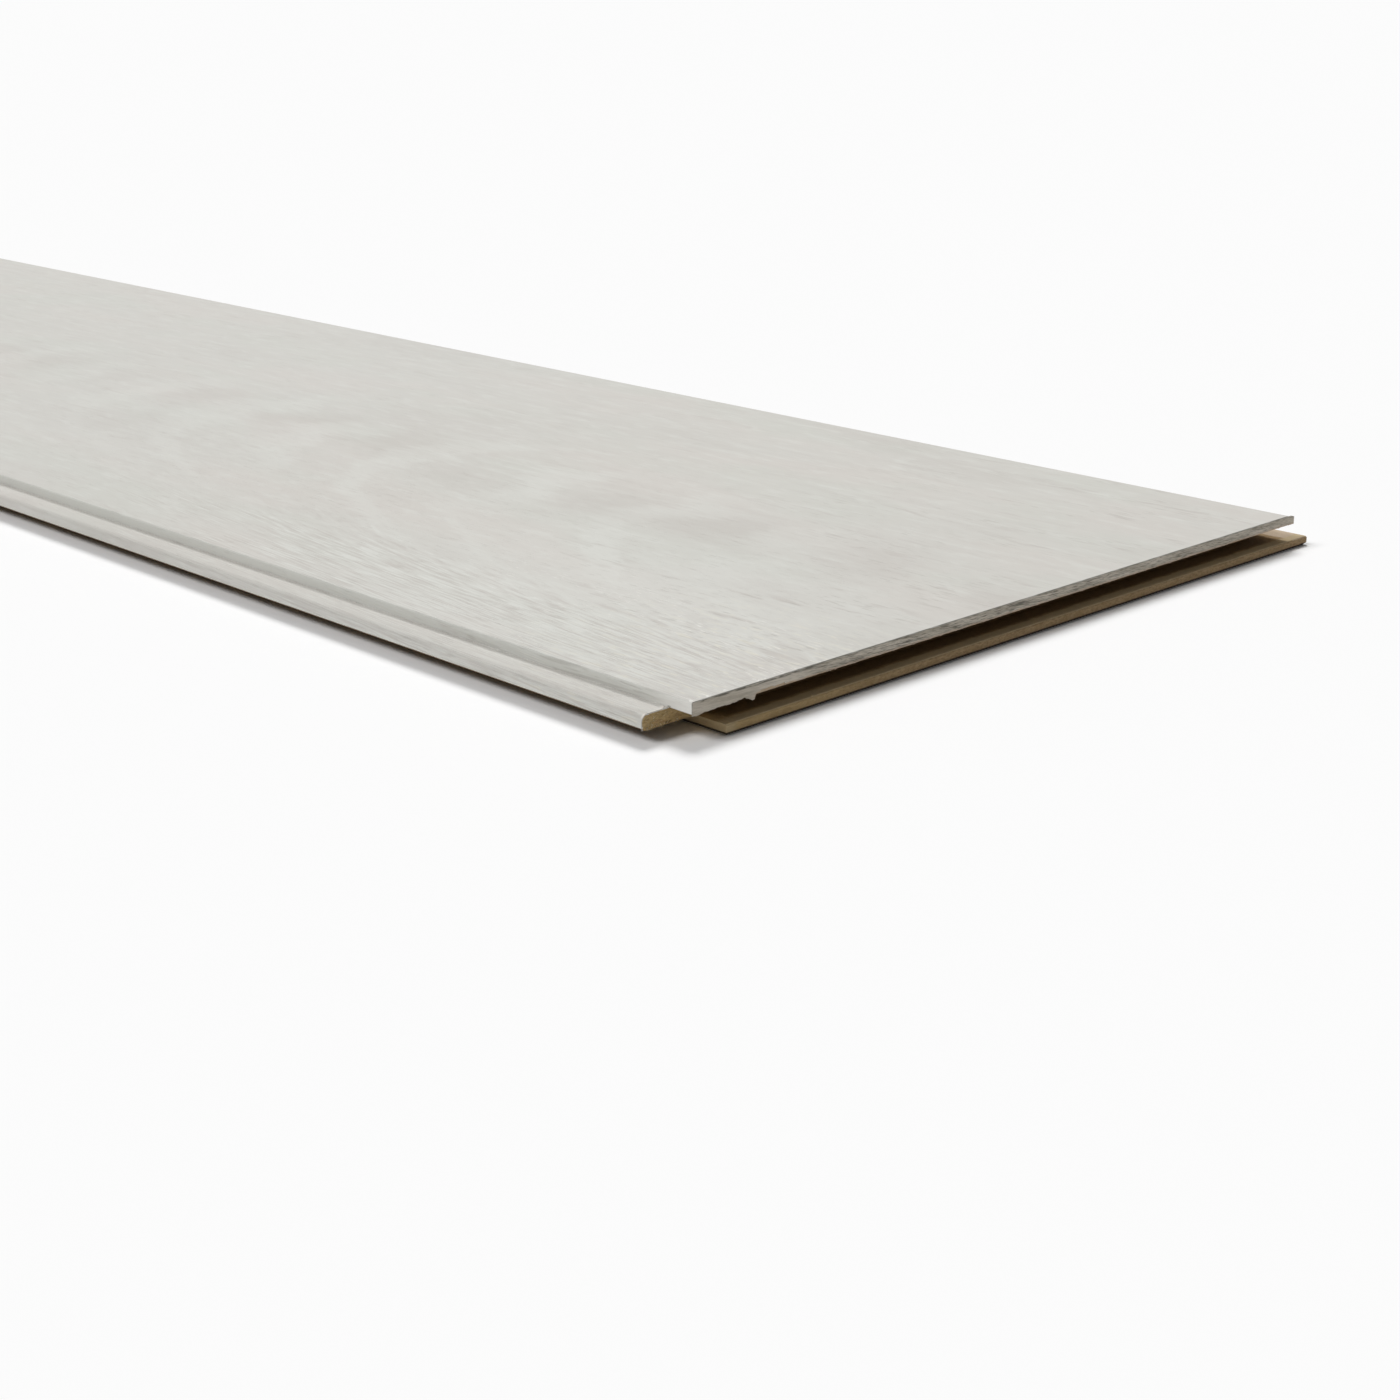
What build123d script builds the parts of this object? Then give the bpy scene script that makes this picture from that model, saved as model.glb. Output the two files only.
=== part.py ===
"""Tongue-and-groove panel plank for ceilings and walls, 8 mm fibreboard wrapped in decor foil.

Millimetres. X runs along the plank, with the groove end at +X and the tongue end at -X.
Y runs across it, with the long tongue at -Y and the long groove at +Y. +Z is up, decor face up.
The origin is the middle of the whole plank's footprint, on its underside.
"""

from build123d import *
import os

os.makedirs("parts", exist_ok=True)

# Visible decor face, the stock's thickness, and the easing of its underside edges
face_length = 1300.0
face_width = 200.0
thickness = 8.0
underside_chamfer = 0.6

# Decor foil on the face and edges, and the strips on the two ends
foil = 0.2
tongue_side_edge_radius = 0.4
groove_side_edge_radius = 0.8

# Groove: the lip above it and its height, which leave the lower lip
upper_lip = 2.4
groove_height = 3.4
lower_lip_chamfer = 0.3

# Tongue: its top bears on the upper lip, and it is thinner than the groove by its play
tongue_play = 0.2
tongue_nose_radius = 1.4
tongue_nose_chamfer = 0.6

# Long sides, measured from the edges of the decor face
long_tongue_reach = 6.8
long_tongue_undercut = 7.5
long_groove_depth = 7.2
long_lip_reach = 6.1

# Ends, measured from the ends of the decor face
end_tongue_reach = 5.8
end_tongue_undercut = 2.1
end_groove_depth = 6.2
end_lip_reach = 1.5

# Heights above the underside
groove_top = thickness - upper_lip
groove_bottom = groove_top - groove_height
tongue_top = groove_top
tongue_bottom = groove_bottom + tongue_play
foil_end = tongue_bottom + tongue_nose_chamfer

# The whole plank, with its tongues and lips, is centred on the origin
overall_length = face_length + end_tongue_reach + end_lip_reach
overall_width = face_width + long_tongue_reach + long_lip_reach
tongue_end_tip = -overall_length / 2
tongue_end = tongue_end_tip + end_tongue_reach
groove_end = tongue_end + face_length
groove_end_tip = overall_length / 2
tongue_side_tip = -overall_width / 2
tongue_side = tongue_side_tip + long_tongue_reach
groove_side = tongue_side + face_width
groove_side_tip = overall_width / 2


def corners(section, *points):
    """The corners of a section that lie nearest to the given points."""
    return [section.vertices().sort_by_distance(point)[0] for point in points]


# Section across the fibreboard: tongue on the left, groove on the right, less the foil
tongue_nose = tongue_side_tip + foil
long_groove_back = groove_side - long_groove_depth
with BuildSketch(Plane.YZ) as board_section:
    with BuildLine():
        Polyline(
            (tongue_side + long_tongue_undercut, 0),
            (tongue_side + long_tongue_undercut, tongue_bottom),
            (tongue_nose, tongue_bottom),
            (tongue_nose, tongue_top - foil),
            (tongue_side + foil, tongue_top - foil),
            (tongue_side + foil, thickness - foil),
            (groove_side - foil, thickness - foil),
            (groove_side - foil, groove_top),
            (long_groove_back, groove_top),
            (long_groove_back, groove_bottom),
            (groove_side_tip, groove_bottom),
            (groove_side_tip, 0),
            close=True,
        )
    make_face()
    nose_top = corners(board_section, (tongue_nose, tongue_top - foil))
    fillet(nose_top, tongue_nose_radius - foil)
    tongue_side_edge = corners(board_section, (tongue_side + foil, thickness - foil))
    fillet(tongue_side_edge, tongue_side_edge_radius - foil)
    groove_side_edge = corners(board_section, (groove_side - foil, thickness - foil))
    fillet(groove_side_edge, groove_side_edge_radius - foil)
    chamfer(corners(board_section, (tongue_nose, tongue_bottom)), tongue_nose_chamfer)
    chamfer(corners(board_section, (groove_side_tip, groove_bottom)), lower_lip_chamfer)
    underside_edges = corners(board_section, (tongue_side + long_tongue_undercut, 0), (groove_side_tip, 0))
    chamfer(underside_edges, underside_chamfer)

# Section across the foil: up the tongue's nose, up the step, over the face and down the lip
with BuildSketch(Plane.YZ) as foil_section:
    with BuildLine():
        Polyline(
            (tongue_side_tip, foil_end),
            (tongue_side_tip, tongue_top),
            (tongue_side, tongue_top),
            (tongue_side, thickness),
            (groove_side, thickness),
            (groove_side, groove_top),
            (tongue_side + long_tongue_undercut, groove_top),
            (tongue_side + long_tongue_undercut, foil_end),
            close=True,
        )
    make_face()
    fillet(corners(foil_section, (tongue_side_tip, tongue_top)), tongue_nose_radius)
    fillet(corners(foil_section, (tongue_side, thickness)), tongue_side_edge_radius)
    fillet(corners(foil_section, (groove_side, thickness)), groove_side_edge_radius)
    add(board_section.sketch_local, mode=Mode.SUBTRACT)


def end_section(strip):
    """Section along the plank, tongue end on the left and groove end on the right.

    strip is what the two end faces beside the decor face are held back by.
    """
    groove_back = groove_end - end_groove_depth
    with BuildSketch(Plane.XZ) as section:
        with BuildLine():
            Polyline(
                (tongue_end + end_tongue_undercut, 0),
                (tongue_end + end_tongue_undercut, tongue_bottom),
                (tongue_end_tip, tongue_bottom),
                (tongue_end_tip, tongue_top),
                (tongue_end + strip, tongue_top),
                (tongue_end + strip, thickness),
                (groove_end - strip, thickness),
                (groove_end - strip, groove_top),
                (groove_back, groove_top),
                (groove_back, groove_bottom),
                (groove_end_tip, groove_bottom),
                (groove_end_tip, 0),
                close=True,
            )
        make_face()
        fillet(corners(section, (tongue_end_tip, tongue_top)), tongue_nose_radius)
        chamfer(corners(section, (tongue_end_tip, tongue_bottom)), tongue_nose_chamfer)
        chamfer(corners(section, (groove_end_tip, groove_bottom)), lower_lip_chamfer)
        underside_edges = corners(section, (tongue_end + end_tongue_undercut, 0), (groove_end_tip, 0))
        chamfer(underside_edges, underside_chamfer)
    return section.sketch


# Fibreboard: the long profile, milled again across both ends
with BuildPart() as mdf_board:
    extrude(board_section.sketch, amount=overall_length, both=True)
    extrude(end_section(strip=foil), amount=overall_width, both=True, mode=Mode.INTERSECT)
mdf_board.part.label = "mdf_board"
export_step(mdf_board.part, "parts/mdf_board.step")

# Decor foil: wrapped round the long edges, and cut by the same milling across the ends
with BuildPart() as decor_foil:
    extrude(foil_section.sketch, amount=overall_length, both=True)
    extrude(end_section(strip=0), amount=overall_width, both=True, mode=Mode.INTERSECT)
decor_foil.part.label = "decor_foil"
export_step(decor_foil.part, "parts/decor_foil.step")

# Decor strip on the upper lip at the groove end
with BuildPart() as groove_end_strip:
    extrude(board_section.sketch, amount=overall_length, both=True)
    with BuildSketch(Plane.XZ):
        with Locations((groove_end, groove_top)):
            Rectangle(foil, upper_lip, align=(Align.MAX, Align.MIN))
    extrude(amount=overall_width, both=True, mode=Mode.INTERSECT)
groove_end_strip.part.label = "groove_end_strip"
export_step(groove_end_strip.part, "parts/groove_end_strip.step")

# Decor strip on the step above the tongue at the tongue end
with BuildPart() as tongue_end_strip:
    extrude(board_section.sketch, amount=overall_length, both=True)
    with BuildSketch(Plane.XZ):
        with Locations((tongue_end, tongue_top)):
            Rectangle(foil, upper_lip, align=(Align.MIN, Align.MIN))
    extrude(amount=overall_width, both=True, mode=Mode.INTERSECT)
tongue_end_strip.part.label = "tongue_end_strip"
export_step(tongue_end_strip.part, "parts/tongue_end_strip.step")
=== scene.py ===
import math
import random

import bpy
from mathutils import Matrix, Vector


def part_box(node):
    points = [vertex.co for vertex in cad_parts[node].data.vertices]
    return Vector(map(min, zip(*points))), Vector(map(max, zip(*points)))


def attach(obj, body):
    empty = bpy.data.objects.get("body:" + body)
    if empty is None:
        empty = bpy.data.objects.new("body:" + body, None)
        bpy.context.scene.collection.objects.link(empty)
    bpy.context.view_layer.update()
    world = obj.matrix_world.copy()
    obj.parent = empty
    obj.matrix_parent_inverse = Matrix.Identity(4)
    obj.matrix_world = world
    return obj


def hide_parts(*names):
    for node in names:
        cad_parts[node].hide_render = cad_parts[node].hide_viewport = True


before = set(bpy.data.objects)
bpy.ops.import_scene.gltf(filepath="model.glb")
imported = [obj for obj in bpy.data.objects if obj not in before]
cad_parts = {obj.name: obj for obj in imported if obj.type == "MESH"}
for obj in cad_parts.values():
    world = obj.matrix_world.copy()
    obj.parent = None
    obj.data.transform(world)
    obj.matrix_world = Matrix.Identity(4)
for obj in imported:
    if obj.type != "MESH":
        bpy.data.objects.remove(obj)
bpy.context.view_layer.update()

bpy.ops.object.select_all(action="DESELECT")
bpy.context.scene.view_settings.view_transform = "Standard"
MM = 0.001


# Camera
# It stands low in front of the corner where the long tongue meets the groove end, so that the plank runs away
# to the left and its end runs away to the right.
CAMERA_PLACE = (0.9366, -0.3754, 0.1423)
CAMERA_TURN = 45.67
CAMERA_DOWN = 18.665
LENS = 59.0
bpy.ops.object.camera_add(
    location=CAMERA_PLACE,
    rotation=(math.radians(90 - CAMERA_DOWN), 0, math.radians(CAMERA_TURN)),
)
camera = bpy.context.object
camera.name = "camera"
camera.data.lens = LENS
camera.data.clip_start = 0.01
bpy.context.scene.camera = camera


# Studio
# Two broad softboxes, one behind the plank and one in front of its tongue side, both from the far end, and a
# little light from all round. The floor and the backdrop are white, and the floor keeps the plank's shadow.
BEHIND_SHARE = 0.50
FRONT_SHARE = 0.36
ROUND_SHARE = 0.14


def softbox(name, turn, height, breadth, share):
    """A far softbox, kept as a sun. turn is the side it shines from, in degrees from -Y towards +X."""
    bpy.ops.object.light_add(type="SUN", rotation=(math.radians(90 - height), 0, math.radians(turn)))
    lamp = bpy.context.object
    lamp.name = name
    lamp.data.angle = math.radians(breadth)
    lamp.data.energy = share * math.pi / math.sin(math.radians(height))


softbox("softbox_behind", turn=-134, height=49, breadth=22, share=BEHIND_SHARE)
softbox("softbox_front", turn=-24.0, height=45.4, breadth=24, share=FRONT_SHARE)


class Field:
    """A number that varies over a surface: the output of a node, with arithmetic."""

    def __init__(self, tree, socket):
        self.tree = tree
        self.socket = socket

    def combine(self, operation, *others):
        node = self.tree.nodes.new("ShaderNodeMath")
        node.operation = operation
        for value, socket in zip((self, *others), node.inputs):
            feed(self.tree, value, socket)
        return Field(self.tree, node.outputs[0])

    def __add__(self, other):
        return self.combine("ADD", other)

    def __sub__(self, other):
        return self.combine("SUBTRACT", other)

    def __mul__(self, other):
        return self.combine("MULTIPLY", other)

    def __truediv__(self, other):
        return self.combine("DIVIDE", other)

    def __pow__(self, other):
        return self.combine("POWER", other)

    def __abs__(self):
        return self.combine("ABSOLUTE")

    def sine(self):
        return self.combine("SINE")

    def at_least(self, other):
        return self.combine("MAXIMUM", other)

    def smooth(self, low, high):
        """0 where the number is low, 1 where it is high, with a smooth rise between them."""
        node = self.tree.nodes.new("ShaderNodeMapRange")
        node.interpolation_type = "SMOOTHSTEP"
        feed(self.tree, self, node.inputs["Value"])
        node.inputs["From Min"].default_value = low
        node.inputs["From Max"].default_value = high
        return Field(self.tree, node.outputs["Result"])


def feed(tree, value, socket):
    """Sets a socket to a number or colour, or links a field or another socket to it."""
    if isinstance(value, Field):
        tree.links.new(value.socket, socket)
    elif isinstance(value, bpy.types.NodeSocket):
        tree.links.new(value, socket)
    elif isinstance(value, tuple):
        socket.default_value = (*value, 1)
    else:
        socket.default_value = value


world = bpy.data.worlds.new("studio")
bpy.context.scene.world = world
world.use_nodes = True
tree = world.node_tree
paths = tree.nodes.new("ShaderNodeLightPath")
seen = Field(tree, paths.outputs["Is Camera Ray"]).at_least(Field(tree, paths.outputs["Is Glossy Ray"]))
seen = seen.at_least(Field(tree, paths.outputs["Is Transmission Ray"]))
backdrop = tree.nodes["Background"]
feed(tree, (1.0, 1.0, 1.0), backdrop.inputs["Color"])
feed(tree, seen * (1 - ROUND_SHARE) + ROUND_SHARE, backdrop.inputs["Strength"])

FLOOR_SIZE = 12
FLOOR_DROP = 0.02 * MM
FLOOR_WHITE = (0.97, 0.97, 0.97)


def new_material(name, roughness, specular):
    """A new material's node tree and main shader, with what is the same all over it."""
    material = bpy.data.materials.new(name)
    material.use_nodes = True
    shader = material.node_tree.nodes["Principled BSDF"]
    shader.inputs["Roughness"].default_value = roughness
    shader.inputs["Specular IOR Level"].default_value = specular
    return material, material.node_tree, shader


bpy.ops.mesh.primitive_plane_add(size=FLOOR_SIZE, location=(0, 0, -FLOOR_DROP))
floor = bpy.context.object
floor.name = "floor"
floor_material, tree, shader = new_material("white_floor", roughness=0.9, specular=0.0)
feed(tree, FLOOR_WHITE, shader.inputs["Base Color"])
floor.data.materials.append(floor_material)


# Decor foil
# The thin printed foil laminated on the face and wrapped over the long edges. Its print is pale limed oak,
# sawn so that the rings show as blunt nested arches along the middle, embossed with fine lines and pores.
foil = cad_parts["decor_foil"]
FACE_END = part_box("groove_end_strip")[1].x
FACE_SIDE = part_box("groove_end_strip")[0].y
FACE_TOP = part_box("decor_foil")[1].z
TONGUE_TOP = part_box("groove_end_strip")[0].z / MM
END_GROOVE_DEPTH = 6.2 * MM
GROOVE_BACK = FACE_END - END_GROOVE_DEPTH
OAK = (0.584, 0.571, 0.533)
OAK_LIMED = (0.662, 0.664, 0.624)
OAK_MAUVE = (0.510, 0.484, 0.450)
OAK_PINK = (0.600, 0.570, 0.532)
OAK_GREEN = (0.571, 0.576, 0.530)
OAK_GREY = (0.400, 0.382, 0.345)
OAK_COOL = (0.610, 0.612, 0.590)
OAK_CREAM = (0.690, 0.665, 0.575)
PALE_FOIL_AND_HIGHLIGHT = (0.800, 0.782, 0.740)
TAG_PALE_HIGHLIGHT = (0.860, 0.800, 0.740)
CUT_EDGE_AND_SHADE = (0.300, 0.290, 0.250)

# The print in millimetres: its heart's distance from the tongue side, and the arches from the groove end
ARCH_HEART = 97
ARCH_SPACING = 44.5
ARCH_START = 107
ARCH_WIDTH = 40
ARCH_WIDTH_FAR = 24


def noise(tree, x, y=0.0, z=0.0, detail=2.0, roughness=0.5):
    """Even noise between 0 and 1 over three fields or numbers."""
    place = tree.nodes.new("ShaderNodeCombineXYZ")
    for value, socket in zip((x, y, z), place.inputs):
        feed(tree, value, socket)
    node = tree.nodes.new("ShaderNodeTexNoise")
    node.inputs["Scale"].default_value = 1.0
    node.inputs["Detail"].default_value = detail
    node.inputs["Roughness"].default_value = roughness
    tree.links.new(place.outputs[0], node.inputs["Vector"])
    return Field(tree, node.outputs["Fac"])


def blend(tree, share, first, second):
    """From the first colour to the second, as share goes from 0 to 1."""
    node = tree.nodes.new("ShaderNodeMix")
    node.data_type = "RGBA"
    feed(tree, share, node.inputs["Factor"])
    feed(tree, first, node.inputs["A"])
    feed(tree, second, node.inputs["B"])
    return node.outputs["Result"]


def millimetres(tree):
    """The plank's own X, Y and Z, in millimetres."""
    place = tree.nodes.new("ShaderNodeTexCoord")
    split = tree.nodes.new("ShaderNodeSeparateXYZ")
    tree.links.new(place.outputs["Object"], split.inputs[0])
    return [Field(tree, socket) * (1 / MM) for socket in split.outputs]


def emboss(tree, shader, height, depth):
    """Relief from a field of heights, depth deep in millimetres."""
    bump = tree.nodes.new("ShaderNodeBump")
    bump.inputs["Strength"].default_value = 1.0
    bump.inputs["Distance"].default_value = depth * MM
    feed(tree, height, bump.inputs["Height"])
    tree.links.new(bump.outputs["Normal"], shader.inputs["Normal"])


limed_oak, tree, shader = new_material("limed_oak_foil", roughness=0.66, specular=0.12)
x, y, z = millimetres(tree)
along = x * -1 + FACE_END / MM
across = y + z - (FACE_SIDE + FACE_TOP) / MM

# The rings: arches open towards the groove end, broad and blunt at the heart, with nearly straight legs
farther = along.smooth(580, 900)
wander = along.smooth(150, 600) * 70 + farther * 60
heart_drift = (noise(tree, along / 170, 3.0, detail=1.0) - 0.5) * wander
side = across - ARCH_HEART - heart_drift
width = side.smooth(-8, 12) * (ARCH_WIDTH_FAR - ARCH_WIDTH) + ARCH_WIDTH
width = width * ((noise(tree, along / 230, 9.0, detail=1.0) - 0.5) * along.smooth(150, 600) * 0.9 + 1)
reach = abs(side) / width
bend = (reach ** 3.5) * 15 / ((reach ** 2.5) * 0.03 + 1) + ((reach - 1.6).at_least(0.0) ** 2) * 240
ripple = (noise(tree, along / 52, across / 24, 5.0, detail=1.0) - 0.5) * 40
feathering = (noise(tree, along / 14, across / 1.7, 25.0, detail=2.0) - 0.5) * 16
ring = along + bend + ripple + feathering
pitch = (noise(tree, ring / 120, 21.0, detail=0.0) - 0.5) * (along.smooth(200, 500) * 9 + farther * 12)
wave = ((ring - ARCH_START) * (2 * math.pi / ARCH_SPACING) + math.pi / 2 + pitch).sine()
strength = noise(tree, ring / 52, across / 40, 14.0, detail=1.0)
near_leg = side.smooth(-88, -40)
far_leg = side.smooth(34, 8)
limed_arch = wave.smooth(0.1, 1.0) * near_leg * far_leg * strength.smooth(0.25, 0.60) * along.smooth(20, 100)
dark_arch = (wave * -1).smooth(-0.45, 0.8) * side.smooth(-24, -4) * side.smooth(16, 2)
dark_arch = dark_arch * strength.smooth(0.66, 0.40)
faded = along.smooth(360, 190) * 0.4 + 0.6

# Fine lines of the early wood, along the legs of the arches
grain = along + bend + ripple * 0.3
near_lines = noise(tree, grain / 8, along / 15, 0.0, detail=2.0, roughness=0.6)
far_lines = noise(tree, across / 1.6, along / 40, 4.0, detail=2.0, roughness=0.6)
patchy = noise(tree, along / 30, across / 8, 60.0, detail=1.0).smooth(0.34, 0.62) * along.smooth(330, 150)
crisp = along.smooth(1, 20) * along.smooth(210, 110) * side.smooth(-60, -77) * 0.85
lines = (near_lines - 0.5) * side.smooth(-42, -74) * (patchy * 0.6 + crisp + 0.15)
lines = lines + (far_lines - 0.5) * side.smooth(18, 50) * 0.18

# Short pores in bundles, most of them towards the groove end, and pale flecks on the embossed pores that are
# painted highlights
pores = noise(tree, along / 5.5, across / 0.6, 8.0, detail=1.0).smooth(0.58, 0.72)
bundles = noise(tree, along / 36, across / 7, 2.0, detail=1.0).smooth(0.42, 0.62)
bundles = bundles * (along.smooth(120, 30) * 0.6 + 0.4)
pore_highlights = noise(tree, grain / 3.2, across / 0.6, 17.0, detail=1.0).smooth(0.60, 0.72)
pore_highlight_bundles = noise(tree, along / 22, across / 6, 23.0, detail=1.0).smooth(0.38, 0.55)
pore_highlights = pore_highlights * pore_highlight_bundles * (side.smooth(-40, -66) * along.smooth(130, 50) * 0.8 + 0.05)
smudges = noise(tree, along / 15, across / 2.8, 70.0, detail=2.0)
chips = noise(tree, along / 1.6, across / 1.3, 33.0, detail=2.0).smooth(0.58, 0.66) * along.smooth(3.0, 0.8)
chips = chips * across.smooth(40, 16)

# The step and the tongue below it, with the marks that the cross-cut left at their end, and painted light and
# shade there: painted highlights on the tongue's end rim and a lifted spot of foil, painted light beside the
# step and on its end, and painted shadow at the step's foot and in a notch
from_side = y - FACE_SIDE / MM
past_tongue = x - GROOVE_BACK / MM
on_side = from_side.smooth(0.3, 0.0)
on_tongue = on_side * z.smooth(TONGUE_TOP + 0.15, TONGUE_TOP - 0.05)
on_step = on_side * z.smooth(TONGUE_TOP, TONGUE_TOP + 0.2) * z.smooth(FACE_TOP / MM, FACE_TOP / MM - 0.2)
tongue_rim_highlight = past_tongue.smooth(-0.6, -0.15) * on_tongue * z.smooth(TONGUE_TOP - 0.9, TONGUE_TOP - 0.4)
lifted_spot_highlight = abs(past_tongue + 0.7).smooth(0.8, 0.4) * abs(from_side + 0.9).smooth(0.7, 0.4) * on_tongue
beside_step_light = from_side.smooth(-2.4, -1.5)
step_end_light = along.smooth(16, 2) * on_step
step_blotch = noise(tree, along / 14, z / 1.1, 77.0, detail=1.0).smooth(0.50, 0.66) * along.smooth(90, 20)
step_foot_shadow = past_tongue.smooth(-0.1, 0.2) * on_side * z.smooth(TONGUE_TOP + 0.14, TONGUE_TOP + 0.02)
notch_shade = abs(past_tongue - 0.25).smooth(0.6, 0.25) * on_side * abs(z - TONGUE_TOP - 0.15).smooth(0.30, 0.12)
cut_end = along.smooth(0.07, 0.03) * noise(tree, across / 6, 12.0, detail=1.0).smooth(0.35, 0.55)

# The ground colour and its clouding, and then the figure over it
clouds = noise(tree, along / 85, across / 34, 30.0, detail=2.0)
tints = noise(tree, along / 60, across / 30, 40.0, detail=2.0)
streaks = noise(tree, along / 26, across / 3.2, 50.0, detail=3.0, roughness=0.6)
mottle = noise(tree, along / 12, across / 3.6, 90.0, detail=2.0, roughness=0.6)
# Paler towards the groove end by the tongue side, and cooler towards the far end
paler_near_corner = along.smooth(170, 50) * across.smooth(95, 45) * along.smooth(0, 22)
corner = along.smooth(75, 20) * across.smooth(70, 30)
speckle = noise(tree, along / 5.5, across / 1.5, 120.0, detail=2.0, roughness=0.6)
cooler_far_run = along.smooth(150, 320)
colour = blend(tree, clouds.smooth(0.42, 0.66) * 0.6, OAK, OAK_PINK)
colour = blend(tree, tints.smooth(0.45, 0.68) * 0.6, colour, OAK_GREEN)
colour = blend(tree, clouds.smooth(0.46, 0.28) * 0.30, colour, OAK_MAUVE)
colour = blend(tree, streaks.smooth(0.48, 0.75) * 0.25, colour, OAK_MAUVE)
colour = blend(tree, streaks.smooth(0.48, 0.25) * 0.30, colour, OAK_LIMED)
colour = blend(tree, mottle.smooth(0.50, 0.72) * 0.35, colour, OAK_LIMED)
colour = blend(tree, mottle.smooth(0.46, 0.28) * 0.16, colour, OAK_MAUVE)
colour = blend(tree, paler_near_corner * 0.40, colour, OAK_LIMED)
colour = blend(tree, cooler_far_run * 0.22, colour, OAK_COOL)
colour = blend(tree, corner * speckle.smooth(0.54, 0.66) * 0.6, colour, OAK_CREAM)
colour = blend(tree, corner * speckle.smooth(0.46, 0.34) * 0.5, colour, OAK_MAUVE)
colour = blend(tree, limed_arch * faded * 0.45, colour, OAK_LIMED)
colour = blend(tree, dark_arch * faded * 0.50, colour, OAK_MAUVE)
colour = blend(tree, lines.smooth(0.0, 0.17) * 0.8, colour, OAK_LIMED)
colour = blend(tree, lines.smooth(0.0, -0.17) * 0.65, colour, OAK_MAUVE)
# Painted shade on the tongue's top
colour = blend(tree, on_tongue * z.smooth(TONGUE_TOP - 1.2, TONGUE_TOP - 0.2) * 0.35, colour, OAK_MAUVE)
# Painted light on the tongue's top beside the step, over the step's shadow
colour = blend(tree, on_tongue * beside_step_light * 0.4, colour, PALE_FOIL_AND_HIGHLIGHT)
# Painted light on the step's face
colour = blend(tree, on_step * 0.85, colour, OAK_LIMED)
colour = blend(tree, on_step * step_blotch * 0.45, colour, OAK_GREY)
colour = blend(tree, smudges.smooth(0.55, 0.70) * bundles * 0.8, colour, OAK_MAUVE)
colour = blend(tree, pores * bundles * 0.45, colour, OAK_GREY)
# Painted highlights on the embossed pores, then pale chips of foil by the cut end
colour = blend(tree, pore_highlights, colour, PALE_FOIL_AND_HIGHLIGHT)
colour = blend(tree, chips * 0.8, colour, PALE_FOIL_AND_HIGHLIGHT)
# Painted highlights on the tongue's end rim and on the lifted spot of foil
colour = blend(tree, (tongue_rim_highlight * 0.7).at_least(lifted_spot_highlight * 0.9), colour, TAG_PALE_HIGHLIGHT)
# Painted light on the step's end, past the tongue
colour = blend(tree, step_end_light * 0.6, colour, PALE_FOIL_AND_HIGHLIGHT)
# Painted shadow at the step's foot and in the notch by the tongue's end
colour = blend(tree, (step_foot_shadow * 0.45).at_least(notch_shade * 0.75), colour, CUT_EDGE_AND_SHADE)
colour = blend(tree, cut_end * 0.8, colour, CUT_EDGE_AND_SHADE)
feed(tree, colour, shader.inputs["Base Color"])
emboss(tree, shader, lines - pores * 0.4 + pore_highlights * 0.5, depth=0.12)
foil.data.materials.clear()
foil.data.materials.append(limed_oak)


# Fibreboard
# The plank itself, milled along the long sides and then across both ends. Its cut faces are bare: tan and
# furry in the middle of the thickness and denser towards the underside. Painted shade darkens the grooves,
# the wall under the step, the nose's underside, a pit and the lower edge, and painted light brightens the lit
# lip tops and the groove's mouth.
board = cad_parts["mdf_board"]
FACE_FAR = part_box("decor_foil")[1].y
SIDE_GROOVE_DEPTH = 7.2 * MM
SIDE_GROOVE_BACK = FACE_FAR - SIDE_GROOVE_DEPTH
GROOVE_HEIGHT = 3.4
GROOVE_FLOOR = TONGUE_TOP - GROOVE_HEIGHT
TONGUE_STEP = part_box("tongue_end_strip")[0].x
BOARD_TAN = (0.535, 0.390, 0.190)
BOARD_PAINTED_LIGHT = (0.680, 0.560, 0.430)
LIP_FACE = (0.540, 0.430, 0.330)
BOARD_SHADE = (0.260, 0.175, 0.080)
BOARD_FIBRE_AND_LIGHT = (0.560, 0.450, 0.280)
BOARD_DENSE = (0.420, 0.300, 0.172)
BOARD_DENSE_SHADE = (0.230, 0.150, 0.078)
BOARD_RUST = (0.440, 0.250, 0.130)
BOARD_PAINTED_SHADE = (0.128, 0.080, 0.038)
UNDER_EDGE_SHADOW = (0.045, 0.034, 0.022)

bare_board, tree, shader = new_material("bare_fibreboard", roughness=0.92, specular=0.12)
x, y, z = millimetres(tree)

# Felted fibres, tan in the middle of the thickness and darker in the dense layer below the grooves
felt = noise(tree, x / 0.9, y / 0.9, z / 0.35, detail=4.0, roughness=0.65)
patches = noise(tree, x / 4.5, y / 4.5, z / 1.6, detail=2.0)
curl = (noise(tree, x / 1.7, y / 1.7, z / 1.2, detail=1.0) - 0.5) * 5
fibres = noise(tree, x / 1.9 + curl, y / 1.9 - curl, z / 0.2 + curl, detail=2.0)
pits = fibres.smooth(0.40, 0.30)
fibres = fibres.smooth(0.56, 0.68)
middle = blend(tree, felt.smooth(0.62, 0.34) * 0.6, BOARD_TAN, BOARD_SHADE)
middle = blend(tree, patches.smooth(0.42, 0.26) * 0.4, middle, BOARD_RUST)
middle = blend(tree, pits * 0.5, middle, BOARD_SHADE)
middle = blend(tree, fibres * 0.6, middle, BOARD_FIBRE_AND_LIGHT)
dense = blend(tree, felt.smooth(0.60, 0.36) * 0.6, BOARD_DENSE, BOARD_DENSE_SHADE)
dense = blend(tree, fibres * 0.25, dense, BOARD_TAN)
dense = blend(tree, (y - FACE_SIDE / MM).smooth(70, 12) * 0.6, dense, BOARD_TAN)
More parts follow.
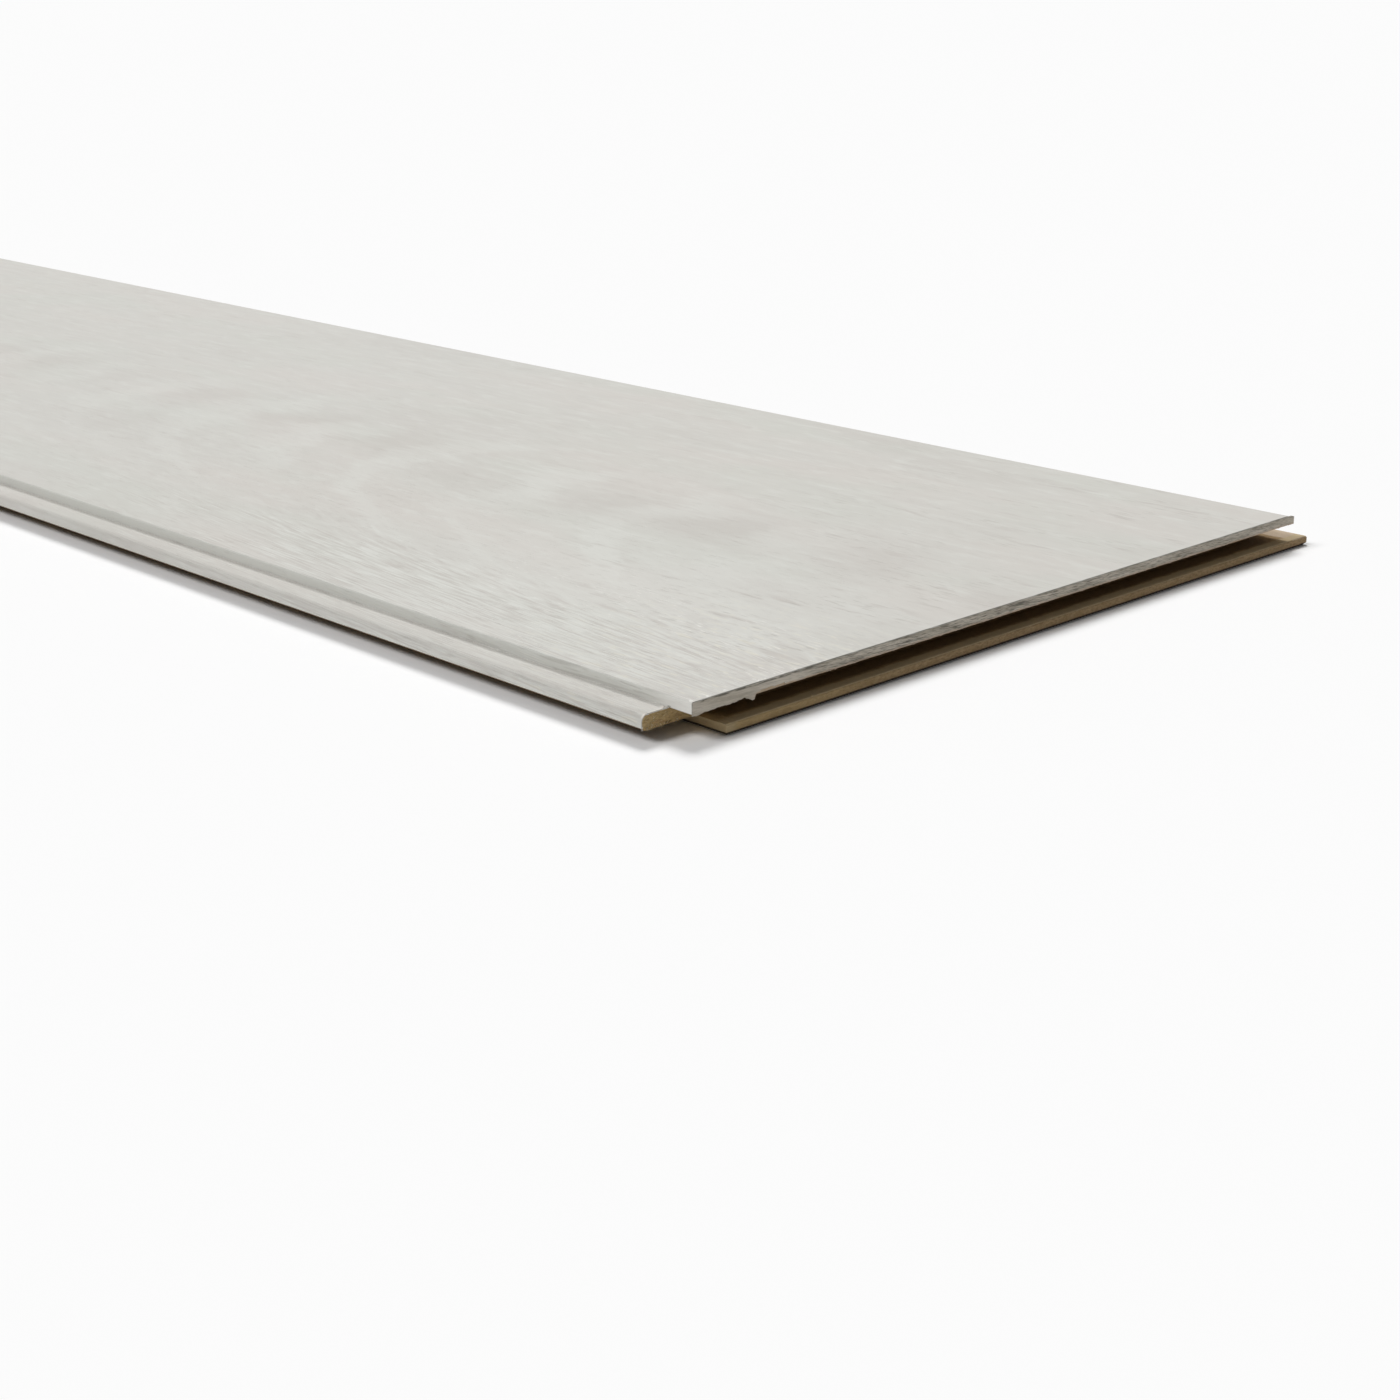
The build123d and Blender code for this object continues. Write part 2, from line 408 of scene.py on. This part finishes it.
colour = blend(tree, z.smooth(GROOVE_FLOOR - 0.1, GROOVE_FLOOR + 0.5), dense, middle)
colour = blend(tree, patches.smooth(0.45, 0.70) * 0.35, colour, BOARD_SHADE)

# The grooves, darkened inside with painted shade, with a wavy border to the lighter board at their mouths
wavy = (noise(tree, y / 5, x / 5, 3.0, detail=3.0) - 0.5) * 1.2
from_end = x * -1 + wavy + FACE_END / MM
from_tongue_side = y + wavy * 3 - FACE_SIDE / MM
from_far_side = y * -1 + wavy + FACE_FAR / MM
past_back = x - GROOVE_BACK / MM
end_groove = from_end.smooth(1.0, 2.6) * from_tongue_side.smooth(6.0, 12.5)
end_groove = end_groove * (from_far_side - wavy * 3).smooth(2.0, 8.0) * past_back.smooth(-0.6, -0.2)
side_groove = from_far_side.smooth(1.0, 2.6) * from_end.smooth(3.0, 9.0)
side_groove = side_groove * (y - SIDE_GROOVE_BACK / MM).smooth(-0.6, -0.2)
groove_shade = end_groove.at_least(side_groove) * z.smooth(GROOVE_FLOOR - 0.15, GROOVE_FLOOR - 0.05)
groove_shade = groove_shade * z.smooth(TONGUE_TOP + 0.05, TONGUE_TOP - 0.05)
colour = blend(tree, groove_shade * 0.85, colour, BOARD_PAINTED_SHADE)

# Painted light on the lit top faces of the far lip, the end tongue and the lower lip near its tip, and the
# upper lip's bare end face in its own colour
end_tongue = (x - TONGUE_STEP / MM).smooth(0.1, -0.3) * z.smooth(TONGUE_TOP - 0.6, TONGUE_TOP - 0.1) * 0.8
side_lip = from_far_side.smooth(0.6, -0.4) * z.smooth(GROOVE_FLOOR - 0.3, GROOVE_FLOOR - 0.05)
colour = blend(tree, side_lip.at_least(end_tongue) * 0.75, colour, BOARD_PAINTED_LIGHT)
lip_top_light = from_end.smooth(1.7, 0.9) * z.smooth(GROOVE_FLOOR - 0.15, GROOVE_FLOOR - 0.03)
lip_top_light = lip_top_light * z.smooth(GROOVE_FLOOR + 0.4, GROOVE_FLOOR + 0.2)
colour = blend(tree, lip_top_light * 0.85, colour, BOARD_FIBRE_AND_LIGHT)
lip_face = (from_end - wavy).smooth(0.5, 0.3) * z.smooth(TONGUE_TOP - 0.1, TONGUE_TOP)
colour = blend(tree, lip_face * 0.7, colour, LIP_FACE)

# Painted shade on the wall under the step, painted light on the groove's mouth beside it, and painted shade
# on the underside of the long tongue's nose and in a pit by the step
wall_shade = past_back.smooth(0.6, 2.2) * from_tongue_side.smooth(1.6, 0.6)
wall_shade = wall_shade * z.smooth(TONGUE_TOP - 0.05, TONGUE_TOP - 0.3) * z.smooth(GROOVE_FLOOR + 0.2, GROOVE_FLOOR + 0.5)
colour = blend(tree, wall_shade * 0.5, colour, BOARD_SHADE)
mouth_light = from_tongue_side.smooth(11.0, 8.3) * z.smooth(GROOVE_FLOOR + 0.2, GROOVE_FLOOR + 0.05)
colour = blend(tree, mouth_light * 0.6, colour, BOARD_FIBRE_AND_LIGHT)
under_nose_shade = z.smooth(GROOVE_FLOOR + 0.95, GROOVE_FLOOR + 0.8) * from_tongue_side.smooth(0.4, -0.4)
under_nose_shade = under_nose_shade * past_back.smooth(-0.02, -0.15)
colour = blend(tree, under_nose_shade * 0.9, colour, BOARD_PAINTED_SHADE)
pit_shade = abs(y + 0.2 - FACE_SIDE / MM).smooth(1.0, 0.4) * abs(z - GROOVE_FLOOR - 0.55).smooth(0.32, 0.12)
colour = blend(tree, pit_shade * 0.8, colour, BOARD_PAINTED_SHADE)
# Painted shadow along the lower edge, where the plank meets the floor
colour = blend(tree, z.smooth(0.72, 0.52) * 0.95, colour, UNDER_EDGE_SHADOW)
feed(tree, colour, shader.inputs["Base Color"])
emboss(tree, shader, felt + fibres * 0.4, depth=0.14)
board.data.materials.clear()
board.data.materials.append(bare_board)


# Groove-end strip
# A narrow strip of darker oak foil, glued across the upper lip at the groove end. The saw frayed its lower
# edge, which hangs below the lip near the tongue side and ends there in a notch and a torn shred.
STRIP = (0.450, 0.405, 0.330)
STRIP_LIGHT = (0.640, 0.585, 0.500)
STRIP_STREAK = (0.120, 0.112, 0.090)
STRIP_BACKING = (0.520, 0.400, 0.300)
STRIP_THICKNESS = 0.25 * MM
STRIP_COLUMN = 0.3 * MM
STRIP_ROWS = 2
STRIP_OVERHANG = 2.2 * MM
FRAY_SIZE = 0.9 * MM
FRAY_DEPTH = 0.30 * MM
TEAR_SIZE = 4.5 * MM
TEAR_DEPTH = 0.45 * MM
CORNER_DROOP = 0.35 * MM

# The lower edge in millimetres: its length, the lip it leaves bare, and the stretch by the tongue that hangs
EDGE_LENGTH = 200
BARE_HEIGHT = 0.28
HANGING_LENGTH = 16.3

strip_print, tree, shader = new_material("grey_oak_strip", roughness=0.6, specular=0.2)
x, y, z = millimetres(tree)
lean = z + y * 0.06
run = y - FACE_SIDE / MM
streaks = noise(tree, y / 13, lean / 0.5, 3.0, detail=3.0, roughness=0.65)
hatching = noise(tree, y / 2.4, lean / 0.16, 9.0, detail=2.0)
bands = noise(tree, y / 20, lean / 1.6, 11.0, detail=2.0)
pale = run.smooth(13, 19) * run.smooth(36, 27) * 0.9
colour = blend(tree, (bands.smooth(0.40, 0.66) * 0.7).at_least(pale), STRIP, STRIP_LIGHT)
streaky = run.smooth(24, 38) * run.smooth(150, 75) * 0.5 + run.smooth(8, 34) * 0.35 + 0.1
colour = blend(tree, streaks.smooth(0.50, 0.60) * streaky, colour, STRIP_STREAK)
colour = blend(tree, streaks.smooth(0.46, 0.36) * streaky * 0.8, colour, STRIP_LIGHT)
colour = blend(tree, hatching.smooth(0.52, 0.62) * (run.smooth(20, 45) * 0.5 + 0.15), colour, STRIP_STREAK)
colour = blend(tree, hatching.smooth(0.48, 0.34) * 0.5, colour, STRIP_LIGHT)
top_line = z.smooth(7.3, 7.6) * run.smooth(1.5, 3.0) * run.smooth(36, 29)
top_line = top_line * noise(tree, y / 4.2, lean / 0.6, 6.0, detail=2.0).smooth(0.42, 0.54)
colour = blend(tree, top_line * 0.85, colour, STRIP_STREAK)
backing = (z + hatching * 1.2).smooth(6.85, 6.45) * run.smooth(HANGING_LENGTH - 0.8, HANGING_LENGTH + 0.7)
colour = blend(tree, backing * 0.7, colour, STRIP_BACKING)
feed(tree, colour, shader.inputs["Base Color"])
emboss(tree, shader, streaks + hatching * 0.5, depth=0.06)


def pick(piece, wanted):
    """Selects the vertices of a piece whose place is wanted, and returns to edit mode."""
    bpy.ops.object.mode_set(mode="EDIT")
    bpy.ops.mesh.select_all(action="DESELECT")
    bpy.ops.object.mode_set(mode="OBJECT")
    for vertex in piece.data.vertices:
        vertex.select = wanted(vertex.co)
    bpy.ops.object.mode_set(mode="EDIT")


def group_of_picked(piece, name):
    """Makes a vertex group of the vertices now selected."""
    piece.vertex_groups.new(name=name)
    bpy.ops.object.vertex_group_assign()


low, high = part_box("groove_end_strip")
columns = round((high.y - low.y) / STRIP_COLUMN)
bpy.ops.mesh.primitive_grid_add(
    x_subdivisions=STRIP_ROWS,
    y_subdivisions=columns,
    size=1,
    location=(low.x + STRIP_THICKNESS, (low.y + high.y) / 2, (low.z + high.z) / 2),
    rotation=(0, math.radians(90), 0),
)
strip = bpy.context.object
strip.name = "frayed_strip"
strip.scale = (high.z - low.z, high.y - low.y, 1)
bpy.ops.object.transform_apply(location=True, rotation=True, scale=True)

# Only the lowest row of the strip's vertices lies under this height
edge_top = low.z + (high.z - low.z) / STRIP_ROWS * 0.8


def drop_edge(start, end, drop):
    """Lowers the strip's lower edge over a stretch, all in millimetres from its near end."""
    pick(strip, lambda place: place.z < edge_top and start <= (place.y - low.y) / MM <= end)
    bpy.ops.transform.translate(value=(0, 0, -drop * MM))


def ragged(name, size, depth):
    """Tears the strip's lower edge up and down, in places as large as size."""
    rough = bpy.data.textures.new(name, type="CLOUDS")
    rough.noise_scale = size
    rough.noise_depth = 2
    rough.noise_type = "HARD_NOISE"
    tear = strip.modifiers.new(name, "DISPLACE")
    tear.texture = rough
    tear.texture_coords = "LOCAL"
    tear.direction = "Z"
    tear.mid_level = 0.45
    tear.strength = depth
    tear.vertex_group = "lower_edge"
    bpy.ops.object.modifier_apply(modifier=tear.name)


drop_edge(0, EDGE_LENGTH, -BARE_HEIGHT)
group_of_picked(strip, "lower_edge")
drop_edge(0, HANGING_LENGTH, BARE_HEIGHT + 0.05)
drop_edge(0, 2.9, 0.10)
drop_edge(0.8, 2.1, 0.12)
bpy.ops.object.mode_set(mode="OBJECT")
ragged("tear", TEAR_SIZE, TEAR_DEPTH)
ragged("fray", FRAY_SIZE, FRAY_DEPTH)
drop_edge(12.9, 13.9, -0.12)
drop_edge(14.0, HANGING_LENGTH, 0.18)
drop_edge(14.8, HANGING_LENGTH, 0.22)
drop_edge(15.4, HANGING_LENGTH, 0.24)
drop_edge(17.0, 27.0, -0.22)
drop_edge(18.0, 24.5, -0.30)
drop_edge(30.0, 36.0, -0.15)
pick(strip, lambda place: place.y > high.y - STRIP_COLUMN / 2)
for half in range(2):
    bpy.ops.mesh.extrude_edges_move(TRANSFORM_OT_translate={"value": (0, STRIP_OVERHANG / 2, 0)})
pick(strip, lambda place: place.y > high.y + STRIP_OVERHANG * 0.9 and place.z > high.z - 0.1 * MM)
bpy.ops.transform.translate(value=(0, 0, -CORNER_DROOP))
bpy.ops.object.mode_set(mode="OBJECT")
sheet = strip.modifiers.new("sheet", "SOLIDIFY")
sheet.thickness = STRIP_THICKNESS
sheet.offset = -1
bpy.ops.object.modifier_apply(modifier=sheet.name)
strip.data.materials.append(strip_print)
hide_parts("groove_end_strip")
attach(strip, "root")


# Tongue-end strip
# The same strip on the step above the tongue at the other end, glued to the board and cleanly cut.
far_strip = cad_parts["tongue_end_strip"]
far_strip.data.materials.clear()
far_strip.data.materials.append(strip_print)


# Torn fibres
# Where the cross-cut tore out of the long tongue's end and of the lower lip, loose splinters of the board
# stand out of it, the longest along the tongue's lower edge.
chance = random.Random(8)
FIBRE_SIDES = 4
FIBRE_RADIUS = 0.08 * MM
FIBRE_TIP = 0.008 * MM
FIBRE_CUTS = 3
NOSE_SPLINTERS = 26
TONGUE_SPLINTERS = 14
LIP_SPLINTERS = 60
FIBRE_PALE = (0.700, 0.610, 0.430)
CURL_SIZE = 0.5 * MM
CURL_DEPTH = 0.5 * MM
lip_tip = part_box("mdf_board")[1].x
tongue_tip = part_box("decor_foil")[0].y
fibre_straw, tree, shader = new_material("torn_fibre", roughness=0.9, specular=0.1)
x, y, z = millimetres(tree)
colour = blend(tree, noise(tree, x * 2, y * 2, z * 2).smooth(0.4, 0.6), BOARD_TAN, FIBRE_PALE)
feed(tree, colour, shader.inputs["Base Color"])


def fibre(root, length, heading, pitch):
    """One splinter, thick at its root and pointed at its free end. Angles in degrees."""
    turn = Vector((0, 0, 1)).rotation_difference(
        Vector((
            math.cos(math.radians(pitch)) * math.cos(math.radians(heading)),
            math.cos(math.radians(pitch)) * math.sin(math.radians(heading)),
            math.sin(math.radians(pitch)),
        ))
    )
    bpy.ops.mesh.primitive_cone_add(
        vertices=FIBRE_SIDES,
        radius1=FIBRE_RADIUS * chance.uniform(0.7, 1.6),
        radius2=FIBRE_TIP,
        depth=length,
        location=Vector(root) + turn @ Vector((0, 0, length * 0.4)),
        rotation=turn.to_euler(),
    )
    return bpy.context.object


def tear_out(count, end, across, height, length, heading, pitch):
    """Splinters rooted in an end face, each range given as its least and its greatest value."""
    row = []
    for number in range(count):
        root = (end, chance.uniform(*across), chance.uniform(*height))
        row.append(fibre(root, chance.uniform(*length), chance.uniform(*heading), chance.uniform(*pitch)))
    return row


splinters = tear_out(
    NOSE_SPLINTERS,
    GROOVE_BACK,
    across=(tongue_tip + 0.5 * MM, tongue_tip + 9.0 * MM),
    height=(2.7 * MM, 2.95 * MM),
    length=(0.4 * MM, 1.1 * MM),
    heading=(-80, 60),
    pitch=(-60, -5),
)
splinters += tear_out(
    TONGUE_SPLINTERS,
    GROOVE_BACK,
    across=(tongue_tip + 0.8 * MM, tongue_tip + 6.5 * MM),
    height=(3.0 * MM, 5.0 * MM),
    length=(0.3 * MM, 0.9 * MM),
    heading=(-70, 70),
    pitch=(-40, 40),
)
splinters += tear_out(
    LIP_SPLINTERS,
    lip_tip - 0.35 * MM,
    across=(low.y + 8 * MM, high.y),
    height=(2.0 * MM, 2.2 * MM),
    length=(0.2 * MM, 0.55 * MM),
    heading=(-80, 80),
    pitch=(0, 60),
)


def join_curled(pieces, name, depth):
    """Joins pieces into one, cuts their sides across and curls them."""
    for piece in pieces:
        piece.select_set(True)
    bpy.context.view_layer.objects.active = pieces[0]
    bpy.ops.object.join()
    joined = bpy.context.object
    joined.name = name
    bpy.ops.object.transform_apply(location=True, rotation=True, scale=True)
    bpy.ops.object.mode_set(mode="EDIT")
    bpy.ops.mesh.select_all(action="SELECT")
    bpy.ops.mesh.subdivide(number_cuts=FIBRE_CUTS)
    bpy.ops.object.mode_set(mode="OBJECT")
    waves = bpy.data.textures.new(name, type="CLOUDS")
    waves.noise_scale = CURL_SIZE
    curl = joined.modifiers.new("curl", "DISPLACE")
    curl.texture = waves
    curl.texture_coords = "LOCAL"
    curl.direction = "RGB_TO_XYZ"
    curl.strength = depth
    bpy.ops.object.modifier_apply(modifier=curl.name)
    return joined


torn = join_curled(splinters, "torn_fibres", CURL_DEPTH)
torn.data.materials.append(fibre_straw)
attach(torn, "root")


# Foil tags
# Where the cross-cut lifted the decor foil at the end of the long tongue, three small tags stand free: one by
# the step, one on the shoulder of the nose and a sliver at the nose's lower end. They are the pale lifted
# foil with a painted highlight in their colour.
TAG_THICKNESS = 0.14 * MM
TAG_CURL = 0.2 * MM
tag_white, tree, shader = new_material("lifted_foil", roughness=0.66, specular=0.12)
x, y, z = millimetres(tree)
colour = blend(tree, noise(tree, x * 3, y * 3, z * 3).smooth(0.4, 0.6), OAK_LIMED, TAG_PALE_HIGHLIGHT)
feed(tree, colour, shader.inputs["Base Color"])


def foil_tag(across, foot, width, length, tilt):
    """A tag of foil standing on the tongue's end, its foot's place and its sizes in millimetres."""
    bpy.ops.object.select_all(action="DESELECT")
    bpy.ops.mesh.primitive_cone_add(
        vertices=6,
        radius1=width / 2 * MM,
        radius2=width / 12 * MM,
        depth=length * MM,
        location=(GROOVE_BACK, tongue_tip + across * MM, (foot + length / 2) * MM),
        rotation=(0, math.radians(tilt), 0),
    )
    tag = bpy.context.object
    tag.scale.x = TAG_THICKNESS / (width * MM)
    return tag


tags = [
    foil_tag(across=5.8, foot=5.45, width=1.4, length=0.60, tilt=-40),
    foil_tag(across=1.5, foot=5.35, width=0.8, length=0.50, tilt=-30),
    foil_tag(across=0.2, foot=2.50, width=0.3, length=0.85, tilt=8),
]
lifted = join_curled(tags, "foil_tags", TAG_CURL)
lifted.data.materials.append(tag_white)
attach(lifted, "root")
